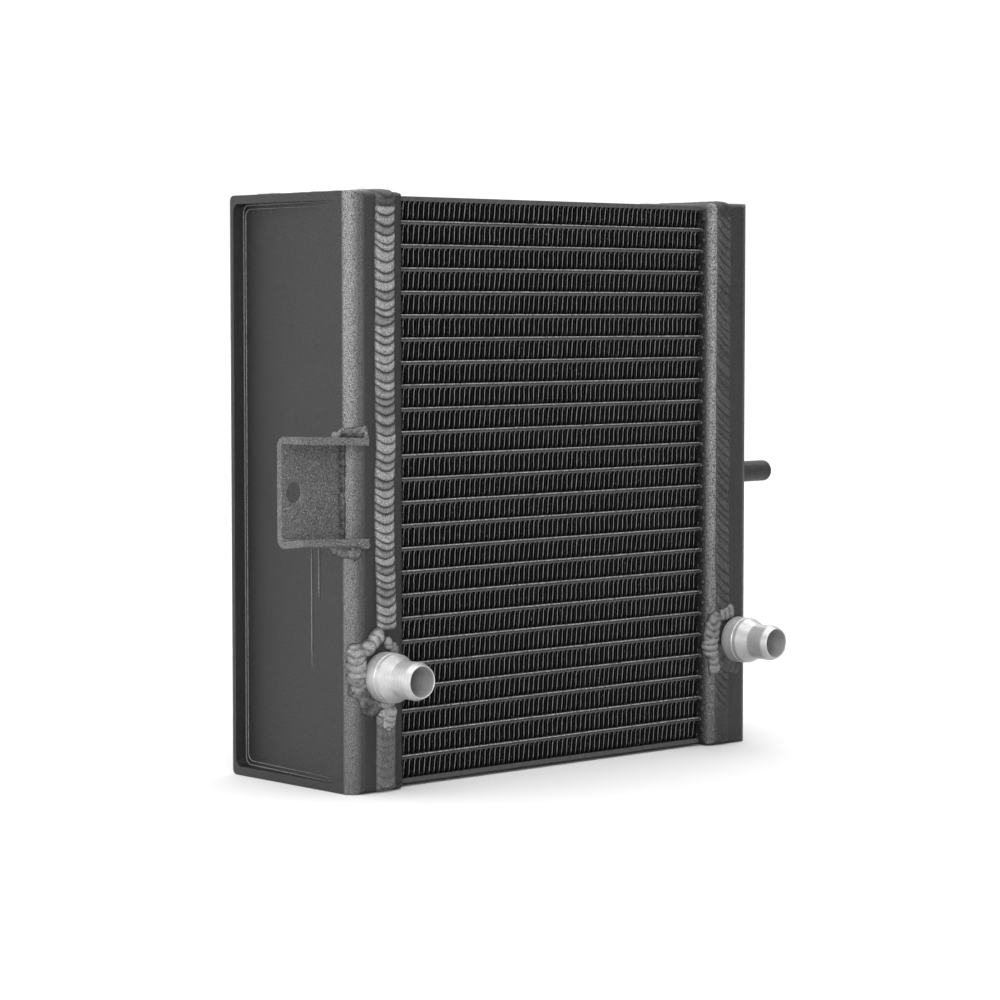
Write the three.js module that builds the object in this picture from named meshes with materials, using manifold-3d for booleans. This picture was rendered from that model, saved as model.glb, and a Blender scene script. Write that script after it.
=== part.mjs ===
// Hydraulic oil cooler: a brazed core of flat tubes and folded fins between two header
// plates, with a cast tank welded to each header, two hose spigots, a folded sheet bracket
// on the left and a locating pin on the right.
// Millimetres, +Z up. The hose spigots point to -Y. The origin is the middle of the
// bounding box, on the surface that the cooler stands on.

import * as THREE from 'three';
import { mergeVertices } from 'three/addons/utils/BufferGeometryUtils.js';
import Module from 'manifold-3d';

const wasm = await Module();
wasm.setup();

// ---------------------------------------------------------------- driving dimensions
const GAP = 0.3;                 // between pieces that touch or are welded together
const TUBE_COUNT = 24;
const TUBE_PITCH = 10;

const TANK = {
  width: 245,                    // over both tanks, along X
  depth: 85.5,                   // along Y
  height: 255.4,
  reach: 18.5,                   // from the outer face to the weld seam
  wall: 3,
  chamfer: 5.2,                  // vertical edge between the side and the front
  frontRadius: 3,                // top and bottom edges of the front face
  backRadius: 4.5,               // rear corners, seen from the side
};
const RECESS = { rim: 3.8, depth: 5.5, start: 10, radius: 3.5 };
const HEADER = { reach: 11, plate: 3, bend: 5 };
const TUBE = { depth: 75.5, thickness: 1.8, wall: 0.35, standIn: 1 };
const FIN = { setBack: 0.6, folds: 20, metal: 0.7 };
const PLATE = { height: 2.1, sheet: 1.2 };
const SPIGOT = {
  length: 25.8, bore: 6.5, throat: 5.2, shank: 6.4, hole: 6.7, height: 49.6, left: 16.4, right: 9.9,
};
const BRACKET = {
  reach: 32, bottom: 106.3, height: 46.7, sheet: 3, bend: 4.5, fall: 1.2, lean: 0.12,
  webFace: 7.5, lip: 7, overlap: 3.4, hole: 9.5, holeReach: 24.5,
};
const PIN = { radius: 5, length: 25, nose: 1.5, setBack: 14, height: 128, boss: 8 };

// ---------------------------------------------------------------- values worked out from them
const HALF_WIDTH = TANK.width / 2;
const FRONT = -TANK.depth / 2;
const BACK = TANK.depth / 2;
const HEADER_FACE = TANK.reach + GAP + HEADER.reach;          // header's core face, from outside
const CORE_HALF = HALF_WIDTH - HEADER_FACE;                   // half the core's visible length
const ROW_HEIGHT = TUBE_PITCH - TUBE.thickness;               // room for one fin
const FIRST_TUBE = (TANK.height - (TUBE_COUNT - 1) * TUBE_PITCH) / 2;
const PAST = 10;                                              // how far a cutting tool overshoots

// ---------------------------------------------------------------- materials
const blackCoat = { color: 0x2b2b2c, roughness: 0.55, metalness: 0.0 };
const bareAluminium = { color: 0xc9cacb, roughness: 0.32, metalness: 1.0 };
const coatedFin = { color: 0x1d1d1e, roughness: 0.6, metalness: 0.0 };

// ---------------------------------------------------------------- solids
function solidOf(geometry) {
  geometry.deleteAttribute('normal');
  geometry.deleteAttribute('uv');
  const merged = mergeVertices(geometry, 1e-4);
  const vertProperties = new Float32Array(merged.attributes.position.array);
  const triVerts = new Uint32Array(merged.index.array);
  return new wasm.Manifold(new wasm.Mesh({ numProp: 3, vertProperties, triVerts }));
}

function geometryOf(solid) {
  const mesh = solid.getMesh();
  const geometry = new THREE.BufferGeometry();
  geometry.setAttribute('position', new THREE.BufferAttribute(mesh.vertProperties, 3));
  geometry.setIndex(new THREE.BufferAttribute(mesh.triVerts, 1));
  return geometry;
}

function shapeOf(points) {
  return new THREE.Shape(points.map(([x, y]) => new THREE.Vector2(x, y)));
}

const AXES = {
  x: [new THREE.Vector3(0, 1, 0), new THREE.Vector3(0, 0, 1), new THREE.Vector3(1, 0, 0)],
  y: [new THREE.Vector3(0, 0, 1), new THREE.Vector3(1, 0, 0), new THREE.Vector3(0, 1, 0)],
  z: [new THREE.Vector3(1, 0, 0), new THREE.Vector3(0, 1, 0), new THREE.Vector3(0, 0, 1)],
};

// Extrudes a shape along one axis from low to high. The shape is drawn in (Y, Z) for x,
// in (Z, X) for y and in (X, Y) for z.
function extrude(shape, axis, low, high, curveSegments = 6) {
  const geometry = new THREE.ExtrudeGeometry(shape, {
    depth: high - low, bevelEnabled: false, curveSegments,
  });
  geometry.translate(0, 0, low);
  geometry.applyMatrix4(new THREE.Matrix4().makeBasis(...AXES[axis]));
  return geometry;
}

function extrudeSolid(shape, axis, low, high, curveSegments) {
  return solidOf(extrude(shape, axis, low, high, curveSegments));
}

// A rectangle whose four corners, from (low, low) counter-clockwise, have their own radius.
function roundedRectangle([x0, y0], [x1, y1], [r0, r1, r2, r3]) {
  const shape = new THREE.Shape();
  shape.moveTo(x0 + r0, y0);
  shape.lineTo(x1 - r1, y0);
  if (r1) shape.absarc(x1 - r1, y0 + r1, r1, -Math.PI / 2, 0);
  shape.lineTo(x1, y1 - r2);
  if (r2) shape.absarc(x1 - r2, y1 - r2, r2, 0, Math.PI / 2);
  shape.lineTo(x0 + r3, y1);
  if (r3) shape.absarc(x0 + r3, y1 - r3, r3, Math.PI / 2, Math.PI);
  shape.lineTo(x0, y0 + r0);
  if (r0) shape.absarc(x0 + r0, y0 + r0, r0, Math.PI, Math.PI * 1.5);
  return shape;
}

// A flat slot with round ends, centred on (0, height) in the shape's own axes.
function slotShape(length, thickness, height) {
  const half = (length - thickness) / 2;
  const shape = new THREE.Shape();
  shape.absarc(half, height, thickness / 2, -Math.PI / 2, Math.PI / 2);
  shape.absarc(-half, height, thickness / 2, Math.PI / 2, Math.PI * 1.5);
  return shape;
}

// Turns a profile of [radius, distance] points about an axis that runs from `start` along
// `direction`.
function turned(profile, start, direction, segments = 24) {
  const points = profile.map(([radius, distance]) => new THREE.Vector2(radius, distance));
  const geometry = new THREE.LatheGeometry(points, segments);
  const turn = new THREE.Quaternion().setFromUnitVectors(new THREE.Vector3(0, 1, 0), direction);
  geometry.applyQuaternion(turn);
  geometry.translate(...start);
  return geometry;
}

function named(name, geometry, finish) {
  const mesh = new THREE.Mesh(geometry, new THREE.MeshStandardMaterial(finish));
  mesh.name = name;
  return mesh;
}

// ---------------------------------------------------------------- tanks
// Plan outlines are drawn as [distance in from the tank's outer face, distance back from
// the front]; `side` is -1 on the left and +1 on the right.
function planShape(side, points) {
  return shapeOf(points.map(([inward, back]) => [side * (HALF_WIDTH - inward), FRONT + back]));
}

function tankOutline(side) {
  const { chamfer, reach, depth } = TANK;
  const softEdge = 2;                                         // rear vertical edge
  return planShape(side, [
    [0, chamfer],
    [chamfer * 0.45, chamfer * 0.5],
    [chamfer * 0.75, chamfer * 0.18],
    [chamfer * 1.15, 0],
    [reach, 0],
    [reach, depth],
    [softEdge, depth],
    [softEdge * 0.3, depth - softEdge * 0.3],
    [0, depth - softEdge],
  ]);
}

// The tank's side view, shared with the header: round at the rear, tighter at the front.
function sideOutline() {
  const { frontRadius, backRadius, height } = TANK;
  return roundedRectangle(
    [FRONT, 0], [BACK, height], [frontRadius, backRadius, backRadius, frontRadius],
  );
}

// The outer side is dished: level with the rim at the front and deepest at the back.
function recess(side) {
  const { rim, depth, start, radius } = RECESS;
  const end = TANK.depth - rim;
  const wedge = extrudeSolid(
    planShape(side, [[-1, start], [0, start], [depth, end], [-1, end]]), 'z', 0, TANK.height,
  );
  const window = extrudeSolid(
    roundedRectangle([FRONT, rim], [FRONT + end, TANK.height - rim], [0, radius, radius, 0]),
    'x', -HALF_WIDTH - PAST, HALF_WIDTH + PAST,
  );
  return wedge.intersect(window);
}

function tankCavity(side) {
  const { wall, chamfer, reach, depth, height } = TANK;
  const corner = chamfer + wall * Math.SQRT2;                 // where the chamfer's inside meets
  const outline = planShape(side, [
    [corner - wall, wall],
    [reach + PAST, wall],
    [reach + PAST, depth - wall],
    [RECESS.depth + wall, depth - wall],
    [wall, RECESS.start],
    [wall, corner - wall],
  ]);
  return extrudeSolid(outline, 'z', wall, height - wall);
}

function spigotCentre(side) {
  const inward = side < 0 ? SPIGOT.left : SPIGOT.right;
  return [side * (HALF_WIDTH - inward), FRONT, SPIGOT.height];
}

function spigotHole(side) {
  const [x, , z] = spigotCentre(side);
  const circle = new THREE.Shape();
  circle.absarc(z, x, SPIGOT.hole, 0, Math.PI * 2);
  return extrudeSolid(circle, 'y', FRONT - PAST, FRONT + TANK.wall + 1, 12);
}

// The pad that the locating pin is welded to stands level with the right tank's rim.
function pinBoss() {
  const circle = new THREE.Shape();
  circle.absarc(FRONT + PIN.setBack, PIN.height, PIN.boss, 0, Math.PI * 2);
  return extrudeSolid(circle, 'x', HALF_WIDTH - TANK.wall, HALF_WIDTH, 10);
}

function tank(side) {
  const body = extrudeSolid(tankOutline(side), 'z', 0, TANK.height)
    .intersect(extrudeSolid(sideOutline(), 'x', -HALF_WIDTH - PAST, HALF_WIDTH + PAST));
  const shell = body.subtract(recess(side)).subtract(tankCavity(side));
  const padded = side > 0 ? shell.add(pinBoss()) : shell;
  return geometryOf(padded.subtract(spigotHole(side)));
}

// ---------------------------------------------------------------- headers
// A pressed tray: a plate with a slot for each tube, and a bent rim that meets the tank.
function header(side) {
  const { plate, bend } = HEADER;
  const rim = side * (HALF_WIDTH - TANK.reach - GAP);         // the edge at the weld seam
  const face = side * (HALF_WIDTH - HEADER_FACE);             // the face towards the core
  const low = Math.min(rim, face);
  const high = Math.max(rim, face);
  const bends = side < 0 ? [0, bend, bend, 0] : [bend, 0, 0, bend];
  const rounded = extrudeSolid(roundedRectangle([low, FRONT], [high, BACK], bends), 'z', 0, TANK.height)
    .intersect(extrudeSolid(
      roundedRectangle([0, low], [TANK.height, high], [bends[0], bends[0], bends[1], bends[1]]),
      'y', FRONT, BACK,
    ))
    .intersect(extrudeSolid(sideOutline(), 'x', low, high));
  const hollow = extrudeSolid(
    roundedRectangle([FRONT + plate, plate], [BACK - plate, TANK.height - plate], [2, 2, 2, 2]),
    'x', Math.min(rim + side * PAST, face + side * plate),
    Math.max(rim + side * PAST, face + side * plate), 2,
  );
  let pressed = rounded.subtract(hollow).subtract(spigotHole(side));
  for (let row = 0; row < TUBE_COUNT; row += 1) {
    const slot = slotShape(TUBE.depth + 2 * GAP, TUBE.thickness + 2 * GAP, tubeHeight(row));
    pressed = pressed.subtract(extrudeSolid(slot, 'x', low - PAST, high + PAST, 2));
  }
  return geometryOf(pressed);
}

// ---------------------------------------------------------------- core
function tubeHeight(row) {
  return FIRST_TUBE + row * TUBE_PITCH;
}

// A flat tube with round edges, open at both ends, that reaches through both headers.
function tube(row) {
  const { depth, thickness, wall, standIn } = TUBE;
  const shape = slotShape(depth, thickness, tubeHeight(row));
  shape.holes.push(slotShape(depth - 2 * wall, thickness - 2 * wall, tubeHeight(row)));
  const end = CORE_HALF + HEADER.plate + standIn;
  return extrude(shape, 'x', -end, end, 2);
}

// A folded fin fills the row below tube `row`; the last one lies above the top tube.
function fin(row) {
  const top = tubeHeight(row) - TUBE.thickness / 2 - GAP;
  const bottom = top - ROW_HEIGHT + 2 * GAP;
  const end = CORE_HALF - GAP;
  const step = (2 * end) / FIN.folds;
  const upper = [];
  for (let fold = 0; fold <= FIN.folds; fold += 1) {
    const crest = fold % 2 ? top : bottom + FIN.metal;
    upper.push([crest, -end + fold * step]);
  }
  const lower = upper.map(([z, x]) => [z - FIN.metal, x]).reverse();
  const halfDepth = TUBE.depth / 2 - FIN.setBack;
  return extrude(shapeOf([...upper, ...lower]), 'y', -halfDepth, halfDepth);
}

// A shallow channel that closes the top or the bottom of the core, its lips turned outwards.
function sidePlate(direction) {
  const { height, sheet } = PLATE;
  const outermostTube = direction > 0 ? tubeHeight(TUBE_COUNT - 1) : tubeHeight(0);
  const inner = outermostTube + direction * (TUBE.thickness / 2 + ROW_HEIGHT);
  const floor = inner + direction * sheet;
  const lip = inner + direction * height;
  const half = TUBE.depth / 2;
  const shape = shapeOf([
    [-half, inner], [half, inner], [half, lip], [half - sheet, lip],
    [half - sheet, floor], [-half + sheet, floor], [-half + sheet, lip], [-half, lip],
  ]);
  return extrude(shape, 'x', -CORE_HALF + GAP, CORE_HALF - GAP);
}

// ---------------------------------------------------------------- fittings
// Radius against distance out from the tank's front face: shank, grooved collar, cone, hose
// seat, chamfered mouth, bore and the narrower throat through the tank's wall.
function spigot(side) {
  const { length, bore, throat, shank } = SPIGOT;
  const inside = -TANK.wall - 1;
  const profile = [
    [throat, inside],
    [shank, inside],
    [shank, GAP],
    [10.7, GAP],
    [10.7, 6.6],
    [10.1, 7],
    [10.1, 7.5],
    [10.5, 7.9],
    [10.5, 8.9],
    [8.1, 14.3],
    [8.2, length - 2.9],
    [7.1, length],
    [bore, length],
    [bore, 3],
    [throat, 2],
    [throat, inside],
  ];
  return turned(profile, spigotCentre(side), new THREE.Vector3(0, -1, 0));
}

// A web with a lip along its top and its bottom, both bent to the front. The lower lip is bent
// past square by `lean` millimetres in each millimetre.
function channelShape(front, back, bottom, top, bend, lean) {
  const shape = new THREE.Shape();
  shape.moveTo(front, bottom + lean * (back - bend - front));
  shape.lineTo(back - bend, bottom);
  shape.absarc(back - bend, bottom + bend, bend, -Math.PI / 2, 0);
  shape.absarc(back - bend, top - bend, bend, 0, Math.PI / 2);
  shape.lineTo(front, top);
  return shape;
}

// A folded channel, open to the front: its web carries the bolt hole and its two lips run
// past the tank's chamfered corner, where they are welded. It falls a little towards the tank.
function bracket() {
  const { reach, bottom, height, sheet, bend, fall, lean, webFace, lip, overlap } = BRACKET;
  const front = FRONT - lip;
  const back = FRONT + webFace + sheet;
  const top = bottom + height;
  const left = -HALF_WIDTH - reach;
  const outer = channelShape(front, back, bottom, top, bend, lean);
  const inner = channelShape(
    front - PAST, back - sheet, bottom + sheet, top - sheet, bend - sheet, lean,
  );
  const slope = -fall / reach;
  const falling = new THREE.Matrix4().makeTranslation(0, 0, -slope * left)
    .multiply(new THREE.Matrix4().makeShear(0, slope, 0, 0, 0, 0));
  const right = -HALF_WIDTH + overlap;
  const channel = solidOf(extrude(outer, 'x', left, right, 5).applyMatrix4(falling))
    .subtract(solidOf(extrude(inner, 'x', left - PAST, right + PAST, 5).applyMatrix4(falling)));
  const corner = TANK.chamfer - GAP * Math.SQRT2;             // the tank's chamfer, with the gap
  const tankSpace = extrudeSolid(planShape(-1, [
    [-GAP, corner + GAP], [corner + GAP, -GAP], [2 * PAST, -GAP],
    [2 * PAST, TANK.depth], [-GAP, TANK.depth],
  ]), 'z', 0, TANK.height);
  const holeX = -HALF_WIDTH - BRACKET.holeReach;
  const holeHeight = bottom + height / 2 + slope * (holeX - left);
  const circle = new THREE.Shape();
  circle.absarc(holeHeight, holeX, BRACKET.hole / 2, 0, Math.PI * 2);
  const boltHole = extrudeSolid(circle, 'y', front, back + PAST, 12);
  return geometryOf(channel.subtract(tankSpace).subtract(boltHole));
}

function locatingPin() {
  const { radius, length, nose } = PIN;
  const profile = [
    [0, GAP],
    [radius, GAP],
    [radius, length - nose],
    [radius - nose * 0.3, length - nose * 0.3],
    [radius - nose, length],
    [0, length],
  ];
  const start = [HALF_WIDTH, FRONT + PIN.setBack, PIN.height];
  return turned(profile, start, new THREE.Vector3(1, 0, 0));
}

// ---------------------------------------------------------------- assembly
const cooler = new THREE.Group();
for (const [word, side] of [['left', -1], ['right', 1]]) {
  cooler.add(named(`${word}_tank`, tank(side), blackCoat));
  cooler.add(named(`${word}_header`, header(side), blackCoat));
  cooler.add(named(`${word}_spigot`, spigot(side), bareAluminium));
}
cooler.add(named('bottom_side_plate', sidePlate(-1), blackCoat));
cooler.add(named('top_side_plate', sidePlate(1), blackCoat));
for (let row = 0; row < TUBE_COUNT; row += 1) {
  const number = String(row + 1).padStart(2, '0');
  cooler.add(named(`tube_${number}`, tube(row), coatedFin));
}
for (let row = 0; row <= TUBE_COUNT; row += 1) {
  const number = String(row + 1).padStart(2, '0');
  cooler.add(named(`fin_${number}`, fin(row), coatedFin));
}
cooler.add(named('mounting_bracket', bracket(), blackCoat));
cooler.add(named('locating_pin', locatingPin(), blackCoat));

// The bracket, the pin and the spigots reach past the tanks, so the middle of the whole
// object is a little off the middle of the core.
cooler.position.set((BRACKET.reach - PIN.length) / 2, SPIGOT.length / 2, 0);

export default cooler;
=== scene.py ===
"""Looks of the hydraulic oil cooler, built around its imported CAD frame.

Metres, in the frame's own axes: the spigots point to -Y, the bracket is at -X, the pin at +X.
"""

import math

import bmesh
import bpy
import numpy as np
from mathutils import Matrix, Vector

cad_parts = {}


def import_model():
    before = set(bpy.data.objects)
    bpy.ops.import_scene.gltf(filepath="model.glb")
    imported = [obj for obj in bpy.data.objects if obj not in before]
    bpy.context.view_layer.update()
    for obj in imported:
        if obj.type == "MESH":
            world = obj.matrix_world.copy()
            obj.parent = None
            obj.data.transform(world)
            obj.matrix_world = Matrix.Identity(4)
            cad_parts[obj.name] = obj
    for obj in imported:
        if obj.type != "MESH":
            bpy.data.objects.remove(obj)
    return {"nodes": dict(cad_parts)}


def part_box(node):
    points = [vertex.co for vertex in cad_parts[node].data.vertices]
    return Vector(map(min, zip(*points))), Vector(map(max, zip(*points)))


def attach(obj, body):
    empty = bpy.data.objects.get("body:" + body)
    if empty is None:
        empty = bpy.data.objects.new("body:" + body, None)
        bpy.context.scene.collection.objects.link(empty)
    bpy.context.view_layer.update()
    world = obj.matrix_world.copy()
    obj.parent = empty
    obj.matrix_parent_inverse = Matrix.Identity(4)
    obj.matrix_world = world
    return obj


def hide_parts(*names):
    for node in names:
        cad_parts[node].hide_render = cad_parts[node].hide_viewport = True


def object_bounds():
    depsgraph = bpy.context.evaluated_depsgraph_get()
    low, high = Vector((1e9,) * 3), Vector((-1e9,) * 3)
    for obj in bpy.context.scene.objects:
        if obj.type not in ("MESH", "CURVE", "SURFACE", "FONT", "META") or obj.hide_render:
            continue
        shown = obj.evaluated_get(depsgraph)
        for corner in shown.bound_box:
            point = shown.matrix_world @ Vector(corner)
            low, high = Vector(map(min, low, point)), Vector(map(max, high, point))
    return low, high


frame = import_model()
cad_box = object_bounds()

MM = 0.001
random = np.random.default_rng(7)

# ------------------------------------------------------------------ places taken from the frame


class End:
    """One end of the cooler: where its tank, header and spigot are."""

    def __init__(self, word):
        tank_low, tank_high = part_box(f"{word}_tank")
        header_low, header_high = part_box(f"{word}_header")
        spigot_low, spigot_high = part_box(f"{word}_spigot")
        left = word == "left"
        self.word = word
        self.inward = 1 if left else -1
        self.outer = tank_low.x if left else tank_high.x
        self.face = header_high.x if left else header_low.x
        self.front = tank_low.y
        self.back = tank_high.y
        self.bottom = tank_low.z
        self.top = tank_high.z
        self.spigot_x = (spigot_low.x + spigot_high.x) / 2
        self.spigot_z = (spigot_low.z + spigot_high.z) / 2

    def x(self, inward):
        """The X of a place that many metres in from the outer face."""
        return self.outer + self.inward * inward


LEFT = End("left")
RIGHT = End("right")
TUBES = sorted(n for n in frame["nodes"] if n.startswith("tube_"))
FINS = sorted(n for n in frame["nodes"] if n.startswith("fin_"))
CORE_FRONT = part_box(TUBES[0])[0].y
CORE_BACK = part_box(TUBES[0])[1].y
FIN_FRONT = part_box(FINS[0])[0].y
FIN_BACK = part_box(FINS[0])[1].y

# ------------------------------------------------------------------ node material helpers


class Nodes:
    """A node tree, with a short way to add and join nodes."""

    def __init__(self, tree, coordinate="Object"):
        self.tree = tree
        self.place = self.add("ShaderNodeTexCoord").outputs[coordinate]

    def add(self, kind, **settings):
        node = self.tree.nodes.new(kind)
        for key, value in settings.items():
            setattr(node, key, value)
        return node

    def join(self, source, target):
        self.tree.links.new(source, target)

    def noise(self, scale, detail=2.0, roughness=0.5, vector=None):
        """A noise texture with so many cells to the metre."""
        node = self.add("ShaderNodeTexNoise")
        self.join(self.place if vector is None else vector, node.inputs["Vector"])
        node.inputs["Scale"].default_value = scale
        node.inputs["Detail"].default_value = detail
        node.inputs["Roughness"].default_value = roughness
        return node.outputs["Fac"]

    def remap(self, source, low, high, new_low, new_high):
        node = self.add("ShaderNodeMapRange")
        self.join(source, node.inputs["Value"])
        for key, value in (
            ("From Min", low), ("From Max", high), ("To Min", new_low), ("To Max", new_high),
        ):
            node.inputs[key].default_value = value
        return node.outputs["Result"]

    def maths(self, operation, first, second):
        node = self.add("ShaderNodeMath", operation=operation)
        for socket, value in zip(node.inputs, (first, second)):
            if isinstance(value, (int, float)):
                socket.default_value = value
            else:
                self.join(value, socket)
        return node.outputs["Value"]

    def blend(self, factor, first, second):
        """Mixes two colours, each a socket or a grey level with a trace of blue."""
        node = self.add("ShaderNodeMix", data_type="RGBA")
        self.join(factor, node.inputs["Factor"])
        for socket, value in ((node.inputs[6], first), (node.inputs[7], second)):
            if isinstance(value, (int, float)):
                socket.default_value = (value, value, value * 1.01, 1)
            else:
                self.join(value, socket)
        return node.outputs[2]

    def bump(self, height, distance, strength=1.0, under=None):
        node = self.add("ShaderNodeBump")
        self.join(height, node.inputs["Height"])
        node.inputs["Distance"].default_value = distance
        node.inputs["Strength"].default_value = strength
        if under is not None:
            self.join(under, node.inputs["Normal"])
        return node.outputs["Normal"]

    def part(self, axis):
        """The place's X, Y or Z."""
        node = self.add("ShaderNodeSeparateXYZ")
        self.join(self.place, node.inputs["Vector"])
        return node.outputs[axis]

    def towards(self, direction):
        """How far the place lies along a direction."""
        node = self.add("ShaderNodeVectorMath", operation="DOT_PRODUCT")
        self.join(self.place, node.inputs[0])
        node.inputs[1].default_value = direction
        return node.outputs["Value"]


class Paint(Nodes):
    """A material's node tree with its one Principled shader."""

    def __init__(self, name):
        self.material = bpy.data.materials.new(name)
        self.material.use_nodes = True
        super().__init__(self.material.node_tree)
        self.shader = self.tree.nodes["Principled BSDF"]

    def set(self, socket, value):
        """Gives the shader's socket a constant or a node's output."""
        if isinstance(value, (int, float)):
            self.shader.inputs[socket].default_value = value
        else:
            self.join(value, self.shader.inputs[socket])


def powder_coat(
    name, level, roughness=0.44, grain=1100.0, depth=0.0005, grit=0.8,
    crest_level=None, crest_grain=0.9,
    corners=(), corner_level=0.1, corner_turn=(-3.5 * MM, 1.5 * MM, 0.25, 1.0),
):
    """Black powder coat: `grain` cells to the metre, `depth` metres of orange peel.

    With a crest level, the mesh's own "crest" value leads to that lighter grey on high ground,
    a painted highlight that leaves the grooves dark as painted shade,
    and `crest_grain` tells how uneven that grey is.
    `corners` are the X of upright front corners, painted a grainy lighter grey as a painted
    highlight, strongest near the top and fading towards the bottom as painted shade, and
    `corner_turn` tells how that changes from the front round to the side.
    """
    paint = Paint(name)
    peel = paint.noise(grain, 3.0, 0.6)
    fine = paint.noise(grain * 1.7, 1.0, 0.5)
    cloud = paint.noise(22.0, 3.0, 0.55)
    tone = paint.blend(paint.remap(cloud, 0.3, 0.7, 0.0, 1.0), level * 0.85, level * 1.2)
    speck = paint.remap(fine, 0.5, 0.75, 0.0, grit)
    tone = paint.blend(speck, tone, level * 3.5)
    if crest_level is not None:
        # painted highlight: the "crest" value lightens high ground, grooves stay dark as painted
        # shade
        crest = paint.add("ShaderNodeAttribute", attribute_name="crest").outputs["Fac"]
        low = crest_level * (1 - crest_grain)
        grainy = paint.remap(fine, 0.30, 0.70, low, 2 * crest_level - low)
        tone = paint.blend(crest, tone, grainy)
    # painted highlight on the upright front corners, strongest near the top
    for corner in corners:
        across = paint.maths("ABSOLUTE", paint.maths("SUBTRACT", paint.part("X"), corner), 0.0)
        back = paint.maths("SUBTRACT", paint.part("Y"), LEFT.front)
        near = paint.remap(paint.maths("ADD", across, back), 5.6 * MM, 7.0 * MM, 1.0, 0.0)
        turned = paint.maths("SUBTRACT", back, across)
        side = paint.remap(turned, *corner_turn)
        # the painted corner highlight fades towards the bottom, a painted shade
        painted_light = paint.remap(paint.part("Z"), LEFT.bottom, 0.6 * LEFT.top, 0.4, 1.0)
        grainy = paint.remap(fine, 0.34, 0.66, corner_level * 0.1, corner_level * 1.9)
        painted_corner_highlight = paint.maths("MULTIPLY", paint.maths("MULTIPLY", near, side), painted_light)
        tone = paint.blend(painted_corner_highlight, tone, grainy)
    paint.set("Base Color", tone)
    paint.set("Roughness", paint.remap(peel, 0.3, 0.7, roughness - 0.06, roughness + 0.08))
    normal = paint.bump(peel, depth)
    paint.set("Normal", paint.bump(fine, depth * 0.5, 1.0, normal))
    paint.set("Specular IOR Level", 0.4)
    return paint.material


def core_coat(name, level, roughness, edges, edge_level, edge_depth):
    """Thin black coat on brazed sheet, painted lighter along the core's front and back as a painted
    highlight on the cut edges, with sparse bright specks as painted glints.
    """
    paint = Paint(name)
    flow = paint.noise(400.0, 4.0, 0.6)
    speck = paint.noise(1600.0, 1.0, 0.5)
    tone = paint.blend(paint.remap(flow, 0.35, 0.65, 0.0, 1.0), level * 0.7, level * 1.3)
    along = paint.part("Y")
    # painted highlight on the cut edges at front and back; the sheet deeper in stays dark as
    # painted shade
    front = paint.remap(along, edges[0], edges[0] + edge_depth, 1.0, 0.0)
    back = paint.remap(along, edges[1] - edge_depth, edges[1], 0.0, 1.0)
    patchy = paint.remap(flow, 0.3, 0.6, 0.6, 1.0)
    edge = paint.maths("MULTIPLY", paint.maths("MAXIMUM", front, back), patchy)
    painted_light = paint.blend(edge, tone, edge_level)
    # painted glints: sparse bright specks
    painted_glints = paint.remap(speck, 0.70, 0.80, 0.0, 1.0)
    paint.set("Base Color", paint.blend(painted_glints, painted_light, edge_level))
    paint.set("Roughness", paint.remap(flow, 0.3, 0.7, roughness - 0.08, roughness + 0.12))
    paint.set("Normal", paint.bump(flow, 0.00006))
    paint.set("Specular IOR Level", 0.2)
    return paint.material


def turned_aluminium(name):
    """Bare turned aluminium: rings from the lathe tool, a few deep, and faint stains."""
    paint = Paint(name)
    across = paint.maths("POWER", paint.part("X"), 2.0)
    upward = paint.maths("POWER", paint.part("Z"), 2.0)
    radius = paint.maths("SQRT", paint.maths("ADD", across, upward), 0.0)
    along = paint.maths("ADD", paint.part("Y"), paint.maths("MULTIPLY", radius, 0.7))
    levels = []
    for scale in (3200.0, 700.0):
        rings = paint.add("ShaderNodeTexNoise", noise_dimensions="1D")
        paint.join(along, rings.inputs["W"])
        rings.inputs["Scale"].default_value = scale
        rings.inputs["Detail"].default_value = 2.0
        levels.append(rings.outputs["Fac"])
    ring, band = levels
    stain = paint.noise(240.0, 5.0, 0.65)
    tone = paint.blend(paint.remap(stain, 0.38, 0.66, 0.0, 1.0), 0.60, 0.44)
    tone = paint.blend(paint.remap(band, 0.40, 0.62, 0.0, 0.5), tone, 0.34)
    paint.set("Base Color", paint.blend(paint.remap(ring, 0.35, 0.65, 0.0, 0.8), tone, 0.27))
    paint.set("Roughness", paint.remap(ring, 0.3, 0.7, 0.32, 0.46))
    paint.set("Normal", paint.bump(band, 0.00002, 1.0, paint.bump(ring, 0.00001)))
    paint.set("Metallic", 0.6)
    paint.set("Anisotropic", 0.6)
    paint.set("Anisotropic Rotation", 0.25)
    tangent = paint.add("ShaderNodeTangent", direction_type="RADIAL", axis="Y")
    paint.set("Tangent", tangent.outputs["Tangent"])
    return paint.material


# the tank's chamfers are painted lighter as a painted highlight
TANK_COAT = powder_coat(
    "tank_powder_coat", level=0.007, roughness=0.38, grain=1600.0, depth=0.0004, grit=0.5,
    corners=(LEFT.outer, RIGHT.outer), corner_level=0.13,
)
# the right header's bend is painted lighter as a painted highlight, at the right end only
HEADER_COAT = powder_coat(
    "header_powder_coat", level=0.005,
    corners=(RIGHT.face,), corner_level=0.14, corner_turn=(-3.0 * MM, 2.0 * MM, 1.0, 0.0),
)
ROUGH_COAT = powder_coat("rough_powder_coat", level=0.008)
BRACKET_COAT = powder_coat("bracket_powder_coat", level=0.092, depth=0.0020)
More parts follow.
